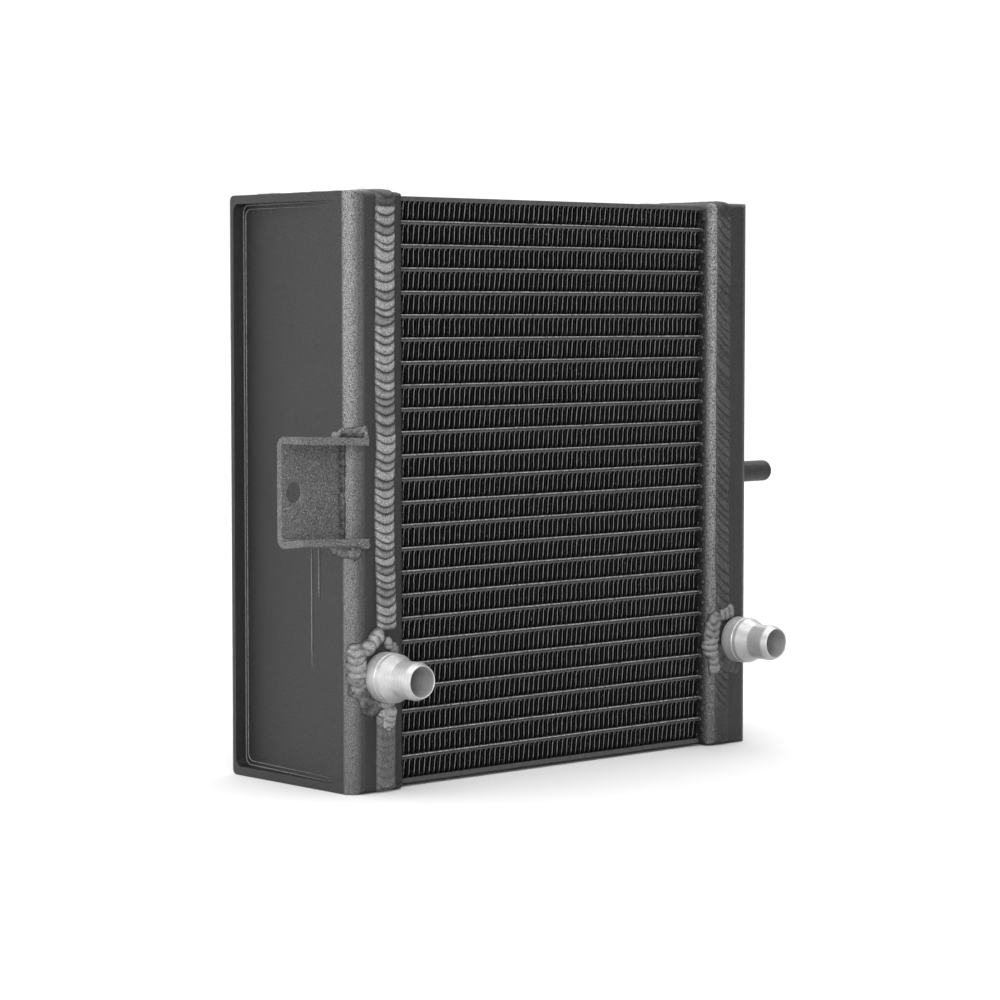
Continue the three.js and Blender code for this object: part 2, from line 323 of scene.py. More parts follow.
# crest_level is the grey of the painted highlight on weld ripples; the dull copies have a weaker
# painted highlight
WELD_COAT = powder_coat("weld_powder_coat", level=0.006, crest_level=0.17, crest_grain=0.6)
LUMP_COAT = powder_coat("lump_powder_coat", level=0.010, crest_level=0.20, crest_grain=0.4)
DULL_LUMP_COAT = powder_coat(
    "dull_lump_powder_coat", level=0.006, crest_level=0.13, crest_grain=0.4,
)
DULL_WELD_COAT = powder_coat("dull_weld_powder_coat", level=0.006, crest_level=0.03)
# crest_level: painted highlight on the tubes' upper lips
TUBE_COAT = powder_coat(
    "tube_coat", level=0.010, roughness=0.42, grain=900.0, depth=0.0001, grit=0.4,
    crest_level=0.16,
)
# lighter front and back edges of the core: painted highlight
CORE_COAT = core_coat(
    "core_coat", level=0.014, roughness=0.38,
    edges=(CORE_FRONT, CORE_BACK), edge_level=0.05, edge_depth=0.8 * MM,
)
# fins near-black as painted shade between the folds, their cut edges painted light as a painted
# highlight
FIN_COAT = core_coat(
    "fin_coat", level=0.002, roughness=0.50,
    edges=(FIN_FRONT, FIN_BACK), edge_level=0.18, edge_depth=0.22 * MM,
)
ALUMINIUM = turned_aluminium("turned_aluminium")

# ------------------------------------------------------------------ mesh helpers


def piece(
    name, vertices, faces, material, replaced=(), sharp_angle=40, centre=None, crest=None,
):
    """A finished mesh piece that rides on the cooler's one body.

    `centre` becomes its origin. `crest` tells for each vertex how high ground it is, 0 to 1.
    """
    origin = np.zeros(3) if centre is None else np.array(centre, float)
    mesh = bpy.data.meshes.new(name)
    local = (np.asarray(vertices, float) - origin).tolist()
    mesh.from_pydata(local, [], [tuple(int(i) for i in face) for face in faces])
    if crest is not None:
        layer = mesh.attributes.new("crest", "FLOAT", "POINT")
        layer.data.foreach_set("value", np.asarray(crest, np.float32).ravel())
    mesh.validate()
    mesh.shade_smooth()
    mesh.set_sharp_from_angle(angle=math.radians(sharp_angle))
    mesh.materials.append(material)
    made = bpy.data.objects.new(name, mesh)
    made.location = origin.tolist()
    bpy.context.scene.collection.objects.link(made)
    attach(made, "root")
    if replaced:
        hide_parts(*replaced)
    return made


def grid_faces(rows, columns, wrap_rows=False, wrap_columns=False, start=0):
    """Quads between neighbours of a grid of points that is stored row by row."""
    row_count = rows if wrap_rows else rows - 1
    column_count = columns if wrap_columns else columns - 1
    row = np.arange(row_count)[:, None]
    column = np.arange(column_count)[None, :]
    next_row = (row + 1) % rows
    next_column = (column + 1) % columns
    corners = [
        row * columns + column,
        row * columns + next_column,
        next_row * columns + next_column,
        next_row * columns + column,
    ]
    return (np.stack(corners, -1).reshape(-1, 4) + start).tolist()


def lathe(name, profile, centre, direction, material, replaced, segments=96):
    """Turns a closed profile of (radius, distance) about an axis along +X or -Y."""
    profile = np.asarray(profile, float)
    angle = np.linspace(0, 2 * math.pi, segments, endpoint=False)[:, None]
    axis = Vector(direction)
    first = Vector((0, 0, 1)).cross(axis)
    second = axis.cross(first)
    around = np.cos(angle) * np.array([first]) + np.sin(angle) * np.array([second])
    points = (
        np.array(centre)
        + around[:, None, :] * profile[None, :, :1]
        + np.array(axis)[None, None, :] * profile[None, :, 1:]
    )
    faces = grid_faces(segments, len(profile), True, True)
    return piece(
        name, points.reshape(-1, 3), faces, material, replaced,
        sharp_angle=50, centre=centre,
    )


def rounded(profile, radius, steps=4):
    """The closed outline with each corner swapped for a small arc, cut to fit short sides."""
    corners = [Vector(p) for p in profile]
    made = []
    for index, corner in enumerate(corners):
        before = corners[index - 1] - corner
        after = corners[(index + 1) % len(corners)] - corner
        reach = min(radius, before.length * 0.45, after.length * 0.45)
        start = corner + before.normalized() * reach
        end = corner + after.normalized() * reach
        for step in range(steps + 1):
            share = step / steps
            rest = 1 - share
            made.append(rest ** 2 * start + 2 * share * rest * corner + share * share * end)
    return [tuple(p) for p in made]


def softened(node, material, width, segments=3, wide=None):
    """A copy of a CAD node with its sharp edges rounded over `width`.

    `wide` tells, from an edge's two ends, how many times wider that edge is rounded.
    """
    mesh = frame["nodes"][node].data.copy()
    work = bmesh.new()
    work.from_mesh(mesh)
    bmesh.ops.remove_doubles(work, verts=work.verts, dist=1e-6)
    bmesh.ops.dissolve_limit(
        work, angle_limit=math.radians(1), verts=work.verts, edges=work.edges,
    )
    weight = work.edges.layers.float.new("bevel_weight_edge")
    sharp = [e for e in work.edges if e.calc_face_angle(0) > math.radians(32)]
    times = [wide(*(v.co for v in e.verts)) if wide else 1.0 for e in sharp]
    widest = max(times)
    for edge, time in zip(sharp, times):
        edge[weight] = time / widest
    work.to_mesh(mesh)
    work.free()
    mesh.materials.clear()
    mesh.materials.append(material)
    made = bpy.data.objects.new(f"{node}_finished", mesh)
    bpy.context.scene.collection.objects.link(made)
    bevel = made.modifiers.new("soft_edges", "BEVEL")
    bevel.width = width * widest
    bevel.segments = segments
    bevel.limit_method = "WEIGHT"
    bevel.use_clamp_overlap = True
    bevel.harden_normals = True
    mesh.shade_smooth()
    mesh.set_sharp_from_angle(angle=math.radians(35))
    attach(made, "root")
    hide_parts(node)
    return made


# ------------------------------------------------------------------ tanks, headers, bracket
TANK_EDGE = 0.7 * MM             # how far an ordinary edge of the tank is rounded
FRONT_BEND = 4.0                 # the bend from chamfer to front is this many times wider


def tank_rounding(end):
    """The upright edge where the chamfer runs into the tank's front is a wide bend."""
    def times(first, second):
        middle = (first + second) / 2
        near_side = abs(middle.x - end.outer) < 8 * MM
        on_front = abs(middle.y - end.front) < 0.1 * MM
        upright = abs(first.z - second.z) > 50 * MM
        return FRONT_BEND if near_side and on_front and upright else 1.0
    return times


for end in (LEFT, RIGHT):
    softened(
        f"{end.word}_tank", TANK_COAT, TANK_EDGE, segments=5, wide=tank_rounding(end),
    )
    softened(f"{end.word}_header", HEADER_COAT, 0.3 * MM, segments=2)
softened("mounting_bracket", BRACKET_COAT, 0.5 * MM)
for plate in ("top_side_plate", "bottom_side_plate"):
    softened(plate, CORE_COAT, 0.25 * MM, segments=2)

# ------------------------------------------------------------------ core
FIN_PITCH = 2.95 * MM            # one fold, two walls, before whole folds are fitted to the row
FIN_SHEET = 0.16 * MM
FIN_BEND = 2.3 * MM              # height of the bend at each end of a wall
FIN_BEND_STEPS = 8               # points less one in each bend
FIN_TOP = 0.31                   # half the width of a fold's upper bend, as a share of the pitch
FIN_BRAZE = 0.35 * MM            # the folds reach this far past the row to meet the tubes
FIN_SETBACK = 0.30 * MM          # every second wall starts this much deeper
FIN_BURR = 1.6                   # the cut edge is this many times thicker than the sheet
FIN_LEAN = 0.10 * MM             # how far the walls lean, and how much that changes by row
FIN_LEAN_CHANGE = 0.06 * MM
FIN_UNEVEN = 0.07 * MM           # how far a fold strays from its place
FIN_DENTS = 0.05 * MM            # how far the cut edge strays


def folded_line(low, high, row):
    """A fin row's foil seen from the front, as (X, Z) points, and how far back each one starts."""
    folds = round((high.x - low.x) / FIN_PITCH)
    pitch = (high.x - low.x) / folds
    lean = FIN_LEAN + FIN_LEAN_CHANGE * math.sin(row * 2.1)
    middle = (low.z + high.z) / 2
    half = (high.z - low.z) / 2 + FIN_BRAZE
    line = []
    setback = []
    for fold in range(folds):
        start = low.x + fold * pitch
        for up, at, half_width in ((1, 0.25, FIN_TOP), (-1, 0.75, 0.5 - FIN_TOP)):
            centre = start + at * pitch + random.normal(0, FIN_UNEVEN) + up * lean
            size = random.normal(1, 0.06)
            for step in range(FIN_BEND_STEPS + 1):
                share = step / FIN_BEND_STEPS
                turn = math.pi * share
                x = centre - math.cos(turn) * pitch * half_width * size
                rise = half - FIN_BEND + FIN_BEND * math.sin(turn)
                line.append((x, middle + up * rise))
                setback.append(FIN_SETBACK * (share ** 2 if up > 0 else 1 - share ** 4))
    line = np.array(line)
    line[:, 0] = np.clip(line[:, 0], low.x + FIN_SHEET, high.x - FIN_SHEET)
    return line, np.array(setback)


def fin(node, row):
    """One row of folded foil, its walls leaning and a little uneven."""
    low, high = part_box(node)
    line, setback = folded_line(low, high, row)
    run = np.gradient(line, axis=0)
    normal = np.stack([-run[:, 1], run[:, 0]], -1)
    normal /= np.linalg.norm(normal, axis=1)[:, None] + 1e-12
    rings = []
    stations = (
        (low.y, 1, FIN_BURR), (low.y + 0.3 * MM, 1, FIN_BURR), (low.y + 0.7 * MM, 1, 1),
        (high.y - 0.7 * MM, 0, 1), (high.y - 0.3 * MM, 0, FIN_BURR), (high.y, 0, FIN_BURR),
    )
    for y, moved, thickness in stations:
        bent = random.normal(0, FIN_DENTS, len(line)) * (thickness > 1)
        reach = normal * FIN_SHEET / 2 * thickness
        depth = y + setback * moved
        for sign in (1, -1):
            side = line + reach * sign
            ring = np.stack([side[:, 0] + bent, depth, side[:, 1]], -1)
            rings.append(ring if sign > 0 else ring[::-1])
    count = 2 * len(line)
    faces = grid_faces(len(stations), count, False, True)
    last = (len(stations) - 1) * count
    for index in range(len(line) - 1):
        other = count - 1 - index
        faces.append([index, index + 1, other - 1, other])
        faces.append([last + other, last + other - 1, last + index + 1, last + index])
    return piece(
        f"fin_row_{row:02d}", np.concatenate(rings), faces, FIN_COAT, (node,),
    )


TUBE_WALL = 0.35 * MM
TUBE_SEAM = 0.30 * MM            # depth of the seam between a tube's two lips
TUBE_SAG = 0.02 * MM
TUBE_NOSE_STEPS = 24


def tube_nose(half, length):
    """Half a tube's section as (depth, height) about its nose, and how much painted highlight each
    point gets: full on the upper lip, a quarter on the lower.
    """
    nose = []
    lip_highlight = []
    for step in range(TUBE_NOSE_STEPS + 1):
        turn = -math.pi / 2 + math.pi * step / TUBE_NOSE_STEPS
        height = math.sin(turn)
        seam = TUBE_SEAM * math.exp(-((height / 0.28) ** 2))
        nose.append((seam - math.cos(turn) * length, height * half))
        upper = math.exp(-(((height + 0.72) / 0.25) ** 2))
        lower = math.exp(-(((height - 0.65) / 0.30) ** 2))
        lip_highlight.append(upper + 0.25 * lower)
    return nose, lip_highlight


def tube(node, row):
    """A folded flat tube: its nose shows two rounded lips with a shallow seam between, the upper
    lip painted light as a painted highlight.
    """
    low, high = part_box(node)
    middle = (low.z + high.z) / 2
    half = (high.z - low.z) / 2
    nose_length = half * 0.6
    nose, lip_highlight = tube_nose(half, nose_length)
    outer = [(low.y + nose_length + y, middle - z) for y, z in nose]
    outer += [(high.y - nose_length - y, middle + z) for y, z in nose]
    outer = np.array(outer)
    centre = np.array([(low.y + high.y) / 2, middle])
    inner = outer.copy()
    inner[:, 0] = centre[0] + (outer[:, 0] - centre[0]) * (1 - 2 * TUBE_WALL / (high.y - low.y))
    inner[:, 1] = centre[1] + (outer[:, 1] - centre[1]) * (1 - TUBE_WALL / half)
    count = len(outer)
    stations = np.linspace(low.x, high.x, 60)
    sag = random.normal(0, TUBE_SAG, len(stations))
    points = []
    for loop in (outer, inner):
        for x, drop in zip(stations, sag):
            points.append(np.stack([np.full(count, x), loop[:, 0], loop[:, 1] + drop], -1))
    faces = grid_faces(len(stations), count, False, True)
    start = len(stations) * count
    faces += [face[::-1] for face in grid_faces(len(stations), count, False, True, start)]
    for at in (0, (len(stations) - 1) * count):
        for index in range(count):
            after = (index + 1) % count
            quad = [at + index, at + after, start + at + after, start + at + index]
            faces.append(quad if at else quad[::-1])
    return piece(
        f"flat_tube_{row:02d}", np.concatenate(points), faces, TUBE_COAT, (node,),
        # painted highlight on the upper lip, faint on the lower
        crest=np.tile(lip_highlight + lip_highlight[::-1], 2 * len(stations)),
    )


for number, node in enumerate(FINS, 1):
    fin(node, number)
for number, node in enumerate(TUBES, 1):
    tube(node, number)

# ------------------------------------------------------------------ spigots and pin


def spigot(end):
    """A shank, a collar with a groove, a cone and a hose seat, turned with a through bore."""
    low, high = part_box(f"{end.word}_spigot")
    length = end.front - low.y
    inside = end.front - high.y
    # radius and distance beyond the tank's front, in millimetres
    profile = [
        (5.2, inside / MM), (6.4, inside / MM), (6.4, 0.3), (10.7, 0.3), (10.7, 6.6), (10.4, 6.9),
        (10.4, 7.2), (10.6, 7.4), (10.5, 8.9), (8.1, 14.3), (8.2, length / MM - 2.9),
        (7.0, length / MM), (6.6, length / MM), (6.5, length / MM - 0.6), (6.5, 3.0), (5.2, 2.0),
    ]
    outline = [(r * MM, d * MM) for r, d in rounded(profile, 0.25)]
    centre = (end.spigot_x, end.front, end.spigot_z)
    lathe(
        f"{end.word}_spigot_turned", outline[::-1], centre, (0, -1, 0), ALUMINIUM,
        (f"{end.word}_spigot",),
    )


def locating_pin():
    """A plain round pin with a well rounded tip."""
    low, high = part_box("locating_pin")
    radius = (high.z - low.z) / 2
    length = high.x - low.x
    nose = 2.2 * MM
    axis = 0.01 * MM
    tip = [
        (radius - nose + nose * math.cos(turn), length - nose + nose * math.sin(turn))
        for turn in np.linspace(0, math.pi / 2, 8)
    ]
    outline = [(axis, 0), (radius, 0), *tip, (axis, length)]
    centre = (low.x, (low.y + high.y) / 2, (low.z + high.z) / 2)
    lathe(
        "locating_pin_coated", outline, centre, (1, 0, 0), ROUGH_COAT,
        ("locating_pin",), segments=48,
    )


spigot(LEFT)
spigot(RIGHT)
locating_pin()

# ------------------------------------------------------------------ welds
CHAMFER = 5.2 * MM               # the tank's corner between its side and its front
HEADER_BEND = 5.0 * MM
FRONT_RADIUS = 3.0 * MM          # the tank's corners, seen from the side
BACK_RADIUS = 4.5 * MM
FLAT_END = 24.8 * MM             # from the outer face to where the header's bend starts
SUNK = 0.35 * MM                 # how deep the rim of a weld lies in the metal under it
RUN_PITCH = 3.3 * MM             # from ripple to ripple in the welds of spigots and bracket
RUN_CURVE = 0.09 / MM            # how much those ripples bend


def smooth_noise(rows, columns, cell_rows, cell_columns):
    """Random heights about 0 with soft hills of so many rows by so many columns."""
    coarse_rows = max(2, round(rows / cell_rows)) + 1
    coarse_columns = max(2, round(columns / cell_columns)) + 1
    coarse = random.normal(0, 1, (coarse_rows, coarse_columns))

    def stretch(values, count):
        at = np.linspace(0, len(values) - 1, count)
        low = np.minimum(at.astype(int), len(values) - 2)
        share = at - low
        share = (share * share * (3 - 2 * share))[:, None]
        return values[low] * (1 - share) + values[low + 1] * share

    return stretch(stretch(coarse, rows).T, columns).T


def seam_path(end, step=0.25 * MM):
    """Distances, points and normals in (Y, Z) all round the tank's edge, from the front's foot."""
    corners = [
        (end.front, end.bottom, FRONT_RADIUS), (end.front, end.top, FRONT_RADIUS),
        (end.back, end.top, BACK_RADIUS), (end.back, end.bottom, BACK_RADIUS),
    ]
    points = []
    normals = []
    for index, (y, z, radius) in enumerate(corners):
        centre_y = y + radius * (1 if y == end.front else -1)
        centre_z = z + radius * (1 if z == end.bottom else -1)
        start = 270 - 90 * index
        turns = np.radians(np.linspace(start, start - 90, 12))
        arc_normals = np.stack([np.cos(turns), np.sin(turns)], -1)
        points.append(np.array([centre_y, centre_z]) + radius * arc_normals)
        normals.append(arc_normals)
    points = np.concatenate(points)
    normals = np.concatenate(normals)
    closed = np.concatenate([points, points[:1]])
    length = np.concatenate([[0], np.cumsum(np.linalg.norm(np.diff(closed, axis=0), axis=1))])
    at = np.arange(0, length[-1], step)
    closed_normals = np.concatenate([normals, normals[:1]])
    path = np.stack([np.interp(at, length, closed[:, k]) for k in (0, 1)], -1)
    out = np.stack([np.interp(at, length, closed_normals[:, k]) for k in (0, 1)], -1)
    out /= np.linalg.norm(out, axis=1)[:, None]
    return at, path, out


def scallops(along, across, pitch, curve, slant):
    """Heights from 0 to 1 of overlapping weld ripples, with a groove at each ripple's foot."""
    span = along[-1] - along[0] + 4 * pitch
    count = int(span / pitch) + 4
    grooves = along[0] - 3 * pitch + np.cumsum(pitch * random.uniform(0.72, 1.28, count))
    bends = curve * random.uniform(0.8, 1.2, count)
    shifts = random.normal(0, 0.25 * MM, count)
    slants = slant + random.normal(0, 0.05, count)
    sizes = random.uniform(0.6, 1.15, count)
    height = np.zeros((len(along), len(across)))
    for column, w in enumerate(across):
        edges = grooves + bends * (w - shifts) ** 2 + slants * w
        edges = np.maximum.accumulate(edges)
        index = np.clip(np.searchsorted(edges, along, "right") - 1, 0, count - 2)
        share = (along - edges[index]) / np.maximum(edges[index + 1] - edges[index], 1e-7)
        share = np.clip(share, 0, 1)
        height[:, column] = sizes[index] * np.sin(math.pi * share ** 0.8) ** 0.55
    return height


def seam_zones(end, path, out, calm, gap):
    """What changes along a seam weld: its ripples, how full and high it is, and where its top front
    is painted dark as a painted dark reflection.
    """
    height_z = path[:, 1]
    in_front = out[:, 0] < -0.9
    strength = np.where(in_front & (height_z > calm[0]) & (height_z < calm[1]), 0.15, 1.0)
    strength = np.convolve(np.pad(strength, 8, "wrap"), np.ones(17) / 17, "valid")
    into_gap = np.minimum(height_z - gap[0], gap[1] - height_z) / (2.5 * MM)
    presence = 1 - np.clip(into_gap, 0, 1) ** 2 * in_front
    below = np.clip(1 - (-out[:, 1] - 0.2) / 0.5, 0.04, 1)
    lower = below * np.interp(out[:, 1], (0, 1), (1, 0.75))
    top_front = (in_front | (out[:, 1] > 0.2)) & (height_z > end.top - 6.5 * MM)
    # painted dark reflection: the bead's top front is painted dark
    painted_dark_reflection = top_front & (path[:, 0] < end.front + 6 * MM)
    return strength[:, None], presence[:, None], lower[:, None], painted_dark_reflection[:, None]


def seam_bead(end, middle, half_width, crown, material, pitch, curve, slant, calm, gap):
    """The weld all round the joint of tank and header.

    In front it runs smooth between the heights `calm`, and stops short between the heights
    `gap`, where the spigot's weld takes its place.
    """
    along, path, out = seam_path(end)
    across = np.linspace(-half_width, half_width, 33)
    ripples = scallops(along, across, pitch, curve, slant)
    strength, presence, lower, painted_dark_reflection = seam_zones(end, path, out, calm, gap)
    bow = ((1 - (np.abs(across) / half_width) ** 5) ** 0.7)[None, :]
    swell = 1 + 0.10 * smooth_noise(len(along), 1, 40, 1)
    height = crown * bow * swell
    height = height + 0.6 * MM * (ripples - 0.75) * bow ** 0.5 * strength
    height = height + 0.05 * MM * smooth_noise(len(along), len(across), 5, 3)
    height = height * (lower * presence) - SUNK * (1 - bow * presence)
    # painted highlight on the ripple crests, grooves left dark as painted shade; an even mid grey
    # where the bead runs smooth
    crest = np.clip((ripples - 0.3) / 0.5, 0, 1) * strength + 0.28 * (1 - strength)
    crest = crest * np.clip(bow * 1.5, 0, 1) * (presence * (1 - 0.85 * painted_dark_reflection))
    drift = 0.25 * MM * smooth_noise(len(along), 1, 60, 1)
    x = end.x(middle) + end.inward * (across[None, :] + drift)
    y = path[:, :1] + out[:, :1] * height
    z = path[:, 1:] + out[:, 1:] * height
    points = np.stack([x, y, z], -1).reshape(-1, 3)
    faces = grid_faces(len(along), len(across), True, True)
    if end.inward > 0:
        faces = [face[::-1] for face in faces]
    return piece(
        f"{end.word}_seam_weld", points, faces, material, sharp_angle=80, crest=crest,
    )


def skin(along):
    """Points and normals in (inward, back) along the tank's and header's outer skin.

    `along` is 0 on the edge between side and chamfer, below 0 on the side, above on the front.
    """
    bend = np.radians(np.linspace(0, 90, 8))
    rounded_end = np.stack([
        FLAT_END + HEADER_BEND * np.sin(bend), HEADER_BEND * (1 - np.cos(bend)),
    ], -1)
    line = np.array([
        (0, CHAMFER + 30 * MM), (0, CHAMFER), (0.45 * CHAMFER, 0.5 * CHAMFER),
        (0.75 * CHAMFER, 0.18 * CHAMFER), (1.15 * CHAMFER, 0), *rounded_end,
    ])
    steps = np.linalg.norm(np.diff(line, axis=0), axis=1)
    length = np.concatenate([[0], np.cumsum(steps)]) - steps[0]
    fine = np.arange(length[0], length[-1], 0.5 * MM)
    place = np.stack([np.interp(fine, length, line[:, k]) for k in (0, 1)], -1)
    run = np.gradient(place, axis=0)
    normal = np.stack([run[:, 1], -run[:, 0]], -1)
    normal = np.stack([np.convolve(normal[:, k], np.ones(5) / 5, "same") for k in (0, 1)], -1)
    normal /= np.linalg.norm(normal, axis=1)[:, None]
    point = np.stack([np.interp(along, length, line[:, k]) for k in (0, 1)], -1)
    out = np.stack([np.interp(along, fine, normal[:, k]) for k in (0, 1)], -1)
    return point, out / np.linalg.norm(out, axis=1)[:, None]


def weld_run(across_grid, upward_grid, start, finish, radius, crown, ripple):
    """The height and the crest value that one run of weld gives each point of a grid; the crest
    value is a painted highlight, highest on the ripples' crests.
    """
    shape = across_grid.shape
    start = np.array(start) * MM
    run = np.array(finish) * MM - start
    span = max(np.linalg.norm(run), 1e-6)
    run = run / span
    across = across_grid - start[0]
    upward = upward_grid - start[1]
    along = across * run[0] + upward * run[1]
    side = across * run[1] - upward * run[0]
    beyond = np.maximum(np.maximum(-along, along - span), 0)
    wobble = 1 + 0.10 * smooth_noise(*shape, 9, 9)
    share = np.hypot(side, beyond) / (radius * MM * wobble)
    dome = np.where(share < 1, np.sqrt(np.clip(1 - share ** 2.4, 0, 1)), (1 - share) * 3)
    uneven = 0.6 * MM * smooth_noise(*shape, 10, 10)
    phase = (along + uneven + RUN_CURVE * side ** 2) / RUN_PITCH + random.uniform(0, 1)
    scale = np.sin(math.pi * (phase % 1) ** 0.8) ** 0.6 - 0.6
    inside = np.clip(dome, 0, 1)
    height = crown * MM * dome + ripple * MM * scale * inside
    # the crest value returned here is a painted highlight
    return height, inside * (0.15 + ripple * (1.0 + 1.8 * scale))


def closed_sheet(quads, count):
    """Faces of a sheet, of its underside `count` points further on, and of the rim between."""
    edges = dict.fromkeys((a, b) for quad in quads for a, b in zip(quad, quad[1:] + quad[:1]))
    under = [[point + count for point in quad[::-1]] for quad in quads]
    rim = [[b, a, a + count, b + count] for a, b in edges if (b, a) not in edges]
    return quads + under + rim


def weld_patch(name, end, runs, material=LUMP_COAT, step=0.3 * MM):
    """Weld metal on the tank's skin, from runs of (start, finish, radius, height, ripple).

    Starts and finishes are (along the skin, height Z) in millimetres.
    """
    ends = np.array([place for run in runs for place in run[:2]]) * MM
    widest = max(run[2] for run in runs) * MM + MM
    low = ends.min(0) - widest
    high = ends.max(0) + widest
    across = np.arange(low[0], high[0], step)
    upward = np.arange(low[1], high[1], step)
    across_grid, upward_grid = np.meshgrid(across, upward)
    shape = across_grid.shape
    height = np.full(shape, -1.0)
    crest = np.zeros(shape)
    for run in runs:
        run_height, run_crest = weld_run(across_grid, upward_grid, *run)
        crest = np.where(run_height > height, run_crest, crest)
        height = np.maximum(height, run_height)
    height += 0.06 * MM * smooth_noise(*shape, 6, 6)
    height = np.maximum(height, -SUNK)
    crest = np.clip(crest + 0.15 * smooth_noise(*shape, 5, 5), 0, 1)
    place, out = skin(across)
    layers = []
    for level in (height, np.full_like(height, -2 * SUNK)):
        inward = place[None, :, 0] + out[None, :, 0] * level
        back = place[None, :, 1] + out[None, :, 1] * level
        layer = np.stack([end.x(inward), end.front + back, upward_grid], -1)
        layers.append(layer.reshape(-1, 3))
    shown = height > -SUNK * 0.98
    cell = shown[:-1, :-1] | shown[1:, :-1] | shown[:-1, 1:] | shown[1:, 1:]
    quads = np.array(grid_faces(*height.shape))[cell.ravel()].tolist()
    faces = np.array(closed_sheet(quads, height.size))
    used = np.unique(faces)
    faces = np.searchsorted(used, faces)
    if end.inward < 0:
        faces = faces[:, ::-1]
    points = np.concatenate(layers)[used]
    shade = np.tile(crest.ravel(), 2)[used]
    return piece(name, points, faces, material, sharp_angle=80, crest=shade)


def spigot_welds():
    """The lumps of weld round the foot of each spigot."""
    z = LEFT.spigot_z / MM
    weld_patch("left_spigot_weld", LEFT, [
        ((4.6, z + 11.0), (4.8, z + 2), 4.3, 2.4, 0.40),
        ((4.8, z + 1), (5.4, z - 4), 4.2, 1.9, 0.18),
        ((9.6, z + 12.8), (15.2, z + 17.4), 3.5, 2.8, 0.55),
        ((21.2, z + 14.6), (21.8, z + 13.5), 2.2, 1.2, 0.5),
        ((24.5, z + 12), (25, z + 10.5), 2.6, 0.9, 0.2),
        ((6, z - 4), (11.5, z - 12), 4.4, 1.8, 0.05),
        ((11.5, z - 12.2), (20, z - 13.4), 3.6, 1.6, 0.05),
        ((19.5, z - 13), (19, z - 16), 3.6, 1.8, 0.8),
        ((21.5, z - 16.5), (20.5, z - 20), 4.2, 2.1, 0.9),
        ((27, z + 3), (26, z - 8), 3.4, 1.2, 0.1),
    ])
    z = RIGHT.spigot_z / MM
    weld_patch("right_spigot_weld", RIGHT, [
        ((27.0, z + 9.0), (28.6, z + 1), 4.4, 2.0, 0.5),
        ((29.4, z - 1), (28.8, z - 5), 4.0, 2.2, 0.75),
        ((27.4, z - 8), (26.4, z - 12.5), 3.4, 1.5, 0.75),
        ((21.5, z + 12.3), (17, z + 13.5), 3.4, 1.6, 0.75),
        ((23, z - 6), (14, z - 12.6), 4.2, 1.1, 0.05),
        ((4.5, z - 5), (5.5, z + 6), 3.2, 1.4, 0.2),
    ], material=DULL_LUMP_COAT)


def bracket_welds():
    """Weld over and under the bracket's lips, and up the edge of its web."""
    low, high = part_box("mounting_bracket")
    bottom = low.z / MM
    top = high.z / MM
    weld_patch("bracket_top_weld", LEFT, [
        ((-6.5, top - 0.8), (-3.5, top - 0.2), 1.8, 1.4, 0.3),
        ((-2.2, top + 0.4), (-1.0, top + 1.6), 1.5, 1.2, 0.4),
        ((8.4, top + 2.4), (9.4, top - 2.4), 1.5, 1.3, 0.3),
        ((1.5, top + 0.8), (7.0, top + 1.4), 2.2, 1.5, 0.12),
    ], step=0.2 * MM)
    weld_patch("bracket_bottom_weld", LEFT, [
        ((-5.5, bottom + 0.2), (3.5, bottom - 1.4), 3.9, 2.2, 0.12),
        ((6.5, bottom + 1.6), (9.8, bottom + 1.0), 1.9, 1.3, 0.2),
    ], step=0.2 * MM)
    weld_patch("bracket_web_weld", LEFT, [
        ((-2.1, bottom + 4), (-2.1, top - 5), 2.4, 1.4, 0.20),
    ], DULL_LUMP_COAT, step=0.2 * MM)


def pin_weld():
    """A small ring of weld round the foot of the pin."""
    low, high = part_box("locating_pin")
    radius = (high.z - low.z) / 2
    turns = np.linspace(0, 2 * math.pi, 120, endpoint=False)
    section = np.radians(np.linspace(0, 360, 20, endpoint=False))
    swell = 1.5 * MM * (1 + 0.12 * np.sin(turns * 15) + 0.05 * random.normal(0, 1, len(turns)))
    ring = radius + 0.3 * MM + swell[:, None] * np.cos(section)[None, :] * 0.9
    rise = low.x - 0.3 * MM + swell[:, None] * np.sin(section)[None, :]
    y = (low.y + high.y) / 2 + ring * np.cos(turns)[:, None]
    z = (low.z + high.z) / 2 + ring * np.sin(turns)[:, None]
    points = np.stack([rise, y, z], -1).reshape(-1, 3)
    faces = grid_faces(len(turns), len(section), True, True)
    piece("pin_weld", points, [f[::-1] for f in faces], ROUGH_COAT)


seam_bead(
    LEFT, middle=17.8 * MM, half_width=5.5 * MM, crown=1.6 * MM, material=WELD_COAT,
    pitch=3.7 * MM, curve=0.075 / MM, slant=0.0, calm=(0, 0.031), gap=(0.0455, 0.0715),
)
seam_bead(
    RIGHT, middle=19.8 * MM, half_width=4.7 * MM, crown=1.1 * MM, material=DULL_WELD_COAT,
    pitch=4.6 * MM, curve=0.05 / MM, slant=0.7, calm=(0, 0.020), gap=(0.040, 0.0605),
)
spigot_welds()
bracket_welds()
pin_weld()

# ------------------------------------------------------------------ small pressed and cast marks


